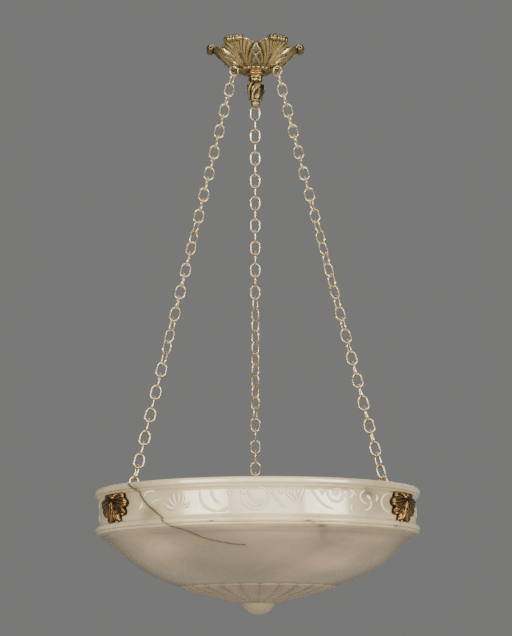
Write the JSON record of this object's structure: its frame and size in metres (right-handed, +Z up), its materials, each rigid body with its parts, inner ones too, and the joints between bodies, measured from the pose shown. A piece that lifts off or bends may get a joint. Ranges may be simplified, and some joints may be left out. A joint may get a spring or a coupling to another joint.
{
  "type": "alabaster bowl pendant light",
  "caption": "Carved alabaster bowl pendant hung by chains from a leaf-cast brass crown with a hanging eye and drop finial.",
  "frame": {"origin": "centre of the hanging eye's hole, where the ceiling hook goes through", "axes": "+Z up, -Y to the front, +X to the right; the eye's hole runs along Y"},
  "size_m": [0.5088, 0.515, 0.9195],
  "materials": {
    "alabaster": "polished translucent alabaster with grey-brown veins",
    "gilt_brass": "cast, pale greenish gold, worn",
    "red_brass": "turned, reddish lacquer",
    "chain_brass": "drawn wire, softly polished",
    "antique_bronze": "cast, dark brown with rubbed gold edges",
    "plain_brass": "turned, satin",
    "steel": "forged and machined, satin",
    "fibre": "vulcanised fibre",
    "porcelain": "white glaze",
    "lamp_glass": "opal glass"
  },
  "bodies": {
    "hanger": {"hanging_eye": "steel"},
    "crown_assembly": {"hanging_fork": "steel", "fork_pin": "steel", "centre_rod": "steel", "crown_floor": "gilt_brass", "collar": "red_brass", "finial": "gilt_brass", "crown_leaf_1": "gilt_brass", "crown_leaf_2": "gilt_brass", "crown_leaf_3": "gilt_brass", "crown_leaf_4": "gilt_brass", "crown_leaf_5": "gilt_brass", "crown_leaf_6": "gilt_brass"},
    "chain_line_left": {"jump_ring_left": "chain_brass", "chain_left": "chain_brass"},
    "chain_line_right": {"jump_ring_right": "chain_brass", "chain_right": "chain_brass"},
    "chain_line_back": {"jump_ring_back": "chain_brass", "chain_back": "chain_brass"},
    "bowl_assembly": {"alabaster_bowl": "alabaster", "inner_pads": "fibre", "outer_pads": "fibre", "bolt_washers": "plain_brass", "wall_bolts": "plain_brass", "wiring_hub": "plain_brass", "hub_cover": "plain_brass", "hub_screws": "steel", "cord_gland": "plain_brass", "gland_nut": "plain_brass", "holder_nuts": "plain_brass", "chain_bracket_left": "plain_brass", "leaf_applique_left": "antique_bronze", "spider_arm_left": "plain_brass", "chain_bracket_right": "plain_brass", "leaf_applique_right": "antique_bronze", "spider_arm_right": "plain_brass", "chain_bracket_back": "plain_brass", "leaf_applique_back": "antique_bronze", "spider_arm_back": "plain_brass", "holder_nipple_front": "plain_brass", "holder_shell_front": "plain_brass", "holder_core_front": "porcelain", "holder_nipple_right": "plain_brass", "holder_shell_right": "plain_brass", "holder_core_right": "porcelain", "holder_nipple_left": "plain_brass", "holder_shell_left": "plain_brass", "holder_core_left": "porcelain"},
    "bulb_front": {"bulb_cap_front": "plain_brass", "bulb_glass_front": "lamp_glass"},
    "bulb_right": {"bulb_cap_right": "plain_brass", "bulb_glass_right": "lamp_glass"},
    "bulb_left": {"bulb_cap_left": "plain_brass", "bulb_glass_left": "lamp_glass"}
  },
  "joints": [
    {"name": "lamp_sway", "type": "hinge", "parent": "hanger", "child": "crown_assembly", "pos_m": [0, 0, -0.016], "axis": [1, 0, 0], "range_deg": [-12, 12]},
    {"name": "bowl_twist", "type": "hinge", "parent": "crown_assembly", "child": "bowl_assembly", "pos_m": [0, 0, -0.035], "axis": [0, 0, 1], "range_deg": [-5, 5]},
    {"name": "chain_swing_left", "type": "hinge", "parent": "crown_assembly", "child": "chain_line_left", "pos_m": [-0.03516, -0.0203, -0.0265], "axis": [-0.8374, -0.4835, 0.2551], "range_deg": [-2, 2]},
    {"name": "chain_swing_right", "type": "hinge", "parent": "crown_assembly", "child": "chain_line_right", "pos_m": [0.03516, -0.0203, -0.0265], "axis": [0.8374, -0.4835, 0.2551], "range_deg": [-2, 2]},
    {"name": "chain_swing_back", "type": "hinge", "parent": "crown_assembly", "child": "chain_line_back", "pos_m": [0, 0.0406, -0.0265], "axis": [0, 0.9669, 0.2551], "range_deg": [-2, 2]},
    {"name": "bulb_out_front", "type": "slide", "parent": "bowl_assembly", "child": "bulb_front", "axis": [0, -1, 0], "range_m": [0, 0.026]},
    {"name": "bulb_out_right", "type": "slide", "parent": "bowl_assembly", "child": "bulb_right", "axis": [0.866, 0.5, 0], "range_m": [0, 0.026]},
    {"name": "bulb_out_left", "type": "slide", "parent": "bowl_assembly", "child": "bulb_left", "axis": [-0.866, 0.5, 0], "range_m": [0, 0.026]}
  ],
  "couplings": [
    {"joint": "chain_swing_left", "follows": "bowl_twist", "ratio": 0.31047},
    {"joint": "chain_swing_right", "follows": "bowl_twist", "ratio": 0.31047},
    {"joint": "chain_swing_back", "follows": "bowl_twist", "ratio": 0.31047}
  ]
}
